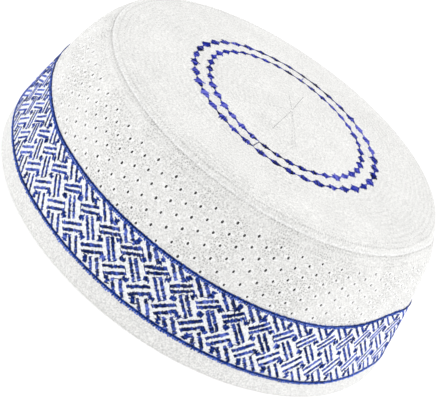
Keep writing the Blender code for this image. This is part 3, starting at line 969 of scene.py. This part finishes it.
# Seven rows of fine running stitch leave the middle of the crown like a star. They are
# the sewer's marks for folding the disc into equal parts.
STAR_MIDDLE = (1.4, 0.4)
STAR_CLEAR = 0.9  # how far from the middle each row begins
STAR_STITCH = 1.2
STAR_ROWS = (  # where each row ends, how far its stitches are apart, and its grey
    (-2.6, 10.9, 1.6, 0.3), (2.1, 20.0, 1.6, 0.0), (-0.7, -21.8, 1.6, 0.2),
    (9.5, -24.7, 2.3, 0.6), (11.0, -23.4, 2.3, 0.7), (-8.6, -8.6, 2.0, 0.8),
    (19.4, 9.5, 2.0, 0.8),
)
marking_thread = thread_finish(
    "marking_thread", (0.20, 0.20, 0.20), (0.38, 0.38, 0.38), (0.60, 0.60, 0.60)
)
star_starts, star_ends, star_tones = [], [], []
for far_x, far_y, step, tone in STAR_ROWS:
    across = np.array([far_x, far_y]) - STAR_MIDDLE
    reach = float(np.hypot(*across))
    for near in np.arange(STAR_CLEAR, reach, step):
        for store, away in ((star_starts, near), (star_ends, near + STAR_STITCH)):
            x, y = STAR_MIDDLE + across * away / reach
            turn = (math.atan2(y, x) - FRONT + math.pi) % (2 * math.pi) - math.pi
            place = float(np.interp(-math.hypot(x, y), -mean_radii, stations))
            store.append((turn, place))
        star_tones.append(tone + rng.normal(0.0, 0.15))
star_starts, star_ends = np.array(star_starts), np.array(star_ends)
star_radius = np.interp(star_starts[:, 1], stations, mean_radii)
star_starts[:, 0] *= star_radius
star_ends[:, 0] *= star_radius
lay_stitches(
    "crown_star_stitches", star_starts, star_ends, star_radius, width=0.36, crest=0.10,
    tone=star_tones, finish=marking_thread,
)

# The lozenge rings are two lines of satin stitched lozenges in a deeper blue rayon, 39
# in each ring, every stitch lying outwards from the crown's middle. One running thread
# joins them, and it steps from the outer ring to the inner one where both begin.
OUTER_RING = 97.8
INNER_RING = 104.2
LOZENGES = 39
LOZENGE_PHASE = math.radians(-89.7)
LOZENGE_HALF_WIDTH = 1.95
LOZENGE_FILL = 0.97  # the share of its place in the ring that a lozenge takes up
LOZENGE_STITCHES = 14
LOZENGE_TIP = 0.12  # half the length of the stitches at its two tips
LOZENGE_RAGGED = 0.16
LOZENGE_UNEVEN = 0.11
LOZENGE_CRESTS = (0.22, 0.38)  # at its tips and middle
RING_THREAD = (0.36, 0.16, 0.12)  # its width, crest and tone between two lozenges
RING_THREAD_CAUGHT = 0.4  # how far it is caught under each lozenge
RING_SHEEN = (  # azimuth in degrees, and how light the thread's blue is painted there, as painted sheen
    (-180, 0.34), (-150, 0.18), (-110, 0.20), (-70, 0.04), (-30, 0.52), (10, 0.22),
    (50, 0.58), (90, 0.05), (130, 0.36), (180, 0.34),
)
RING_PAINTED_HIGHLIGHTS = (  # azimuth, and how much paler a lozenge's middle is painted there, as a painted highlight
    (-180, 0.0), (-160, 0.1), (-142, 0.7), (-112, 0.6), (-95, 0.1), (180, 0.0),
)
RING_SIZES = (  # azimuth in degrees, and how large the lozenges are there
    (-180, 1.02), (-135, 1.20), (-105, 1.05), (-85, 0.92), (-55, 0.98), (-15, 1.12),
    (40, 1.12), (95, 0.76), (140, 1.00), (180, 1.02),
)
RING_BREAK = math.radians(-94.5)
RING_GAP = 0.75  # how far the first lozenges stand off from the last ones
RING_GAP_TURN = 0.35  # the turn, in radians, in which that dies away


def ring_drift(azimuth, inwards, sideways):
    """How far a ring strays from a true circle, in millimetres, from a few slow waves."""
    waves = [1.0]
    for times in (1, 2, 3):
        waves += [math.cos(times * azimuth), math.sin(times * azimuth)]
    return tuple(
        sum(size * wave for size, wave in zip(sizes, waves)) for sizes in (inwards, sideways)
    )


def lozenge_ring(name, station, full_size, inwards, sideways, finish):
    """A ring of lozenges: radial stitches that grow from the tip and shrink again."""
    radius = radius_at(station)
    pitch = 2 * math.pi / LOZENGES
    starts, ends, widths, crests, tones = [], [], [], [], []
    for lozenge in range(LOZENGES):
        azimuth = LOZENGE_PHASE + lozenge * pitch
        in_drift, side_drift = ring_drift(azimuth, inwards, sideways)
        past_break = (azimuth - RING_BREAK) % (2 * math.pi)
        side_drift += RING_GAP * math.exp(-past_break / RING_GAP_TURN)
        middle = azimuth - FRONT + side_drift / radius
        turned = (math.degrees(azimuth) + 180.0) % 360.0 - 180.0
        size = full_size * np.interp(turned, *np.array(RING_SIZES).T)
        size *= rng.normal(1.0, LOZENGE_UNEVEN)
        place = station + in_drift + rng.normal(0.0, 0.06)
        across = np.linspace(-1.0, 1.0, LOZENGE_STITCHES)
        arc = radius * (middle + 0.5 * LOZENGE_FILL * pitch * across)
        inner = 1.0 - np.abs(across)
        half = size * (LOZENGE_HALF_WIDTH * inner + LOZENGE_TIP)
        up = half * rng.normal(1.0, LOZENGE_RAGGED, LOZENGE_STITCHES)
        down = half * rng.normal(1.0, LOZENGE_RAGGED, LOZENGE_STITCHES)
        starts.append(np.stack([arc, place - down], axis=-1))
        ends.append(np.stack([arc, place + up], axis=-1))
        widths.append(np.full(LOZENGE_STITCHES, 0.50))
        crests.append(np.interp(inner, (0.0, 1.0), LOZENGE_CRESTS))
        # The lozenges' blue is painted sheen round the ring, with a random tone for each stitch.
        depth = np.interp(turned, *np.array(RING_SHEEN).T) + rng.normal(0.0, 0.08)
        # A painted highlight pales the middles of the lozenges on the left of the ring.
        painted_highlight = np.interp(turned, *np.array(RING_PAINTED_HIGHLIGHTS).T) * inner
        tones.append(rng.normal(depth, 0.28, LOZENGE_STITCHES) + painted_highlight)
        gap_from = middle + 0.5 * LOZENGE_FILL * pitch
        gap_to = middle + pitch * (1.0 - 0.5 * LOZENGE_FILL)
        turn = (FRONT + 0.5 * (gap_from + gap_to) - RING_BREAK) % (2 * math.pi)
        if min(turn, 2 * math.pi - turn) > 0.5 * pitch:
            next_drift = ring_drift(azimuth + pitch, inwards, sideways)[0]
            starts.append([(radius * gap_from - RING_THREAD_CAUGHT, place)])
            ends.append([(radius * gap_to + RING_THREAD_CAUGHT, station + next_drift)])
            for store, value in zip((widths, crests, tones), RING_THREAD):
                store.append([value])
    return lay_stitches(
        name, np.concatenate(starts), np.concatenate(ends), radius, np.concatenate(widths),
        np.concatenate(crests), np.concatenate(tones), finish,
    )


ring_thread = thread_finish(
    "ring_thread", (0.0010, 0.0020, 0.020), (0.010, 0.024, 0.390), (0.170, 0.180, 0.680)
)
outer_ring = lozenge_ring(
    "outer_lozenges", OUTER_RING, full_size=1.0,
    inwards=(0.28, -0.35, 0.47, -0.19, 0.06, 0.18, -0.24),
    sideways=(0.0, -0.09, -0.31, 0.1, 0.29, 0.4, 0.04), finish=ring_thread,
)
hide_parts("outer_lozenge_ring")
inner_ring = lozenge_ring(
    "inner_lozenges", INNER_RING, full_size=0.88,
    inwards=(0.42, -0.16, 1.04, 0.03, 0.31, 0.13, -0.28),
    sideways=(-0.14, -0.2, -0.26, 0.0, 0.13, 0.45, 0.0), finish=ring_thread,
)
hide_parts("inner_lozenge_ring")

# Where the rings begin, one thread hops from the outer ring to the inner one; on the far
# side a loose end of the same thread lies across the inner ring.
HOP = (  # azimuth in degrees, and station
    (-96.2, 98.0), (-94.6, 97.6), (-94.0, 98.6), (-93.3, 102.3), (-92.9, 103.2), (-91.6, 103.3),
)
LOOSE_END = ((94.4, 105.7), (93.8, 103.4), (93.4, 101.4))
HOP_RADIUS = 40.0
hop_starts, hop_ends, hop_tones = [], [], []
for thread, thread_tone in ((HOP, 0.1), (LOOSE_END, 0.7)):
    for near, far in zip(thread[:-1], thread[1:]):
        for store, (azimuth, station) in ((hop_starts, near), (hop_ends, far)):
            store.append((math.radians(azimuth + 90.0) * HOP_RADIUS, station))
        hop_tones.append(thread_tone)
lay_stitches(
    "ring_hops", hop_starts, hop_ends, HOP_RADIUS, width=0.30, crest=0.24,
    tone=hop_tones, finish=ring_thread, foot=0.02,
)
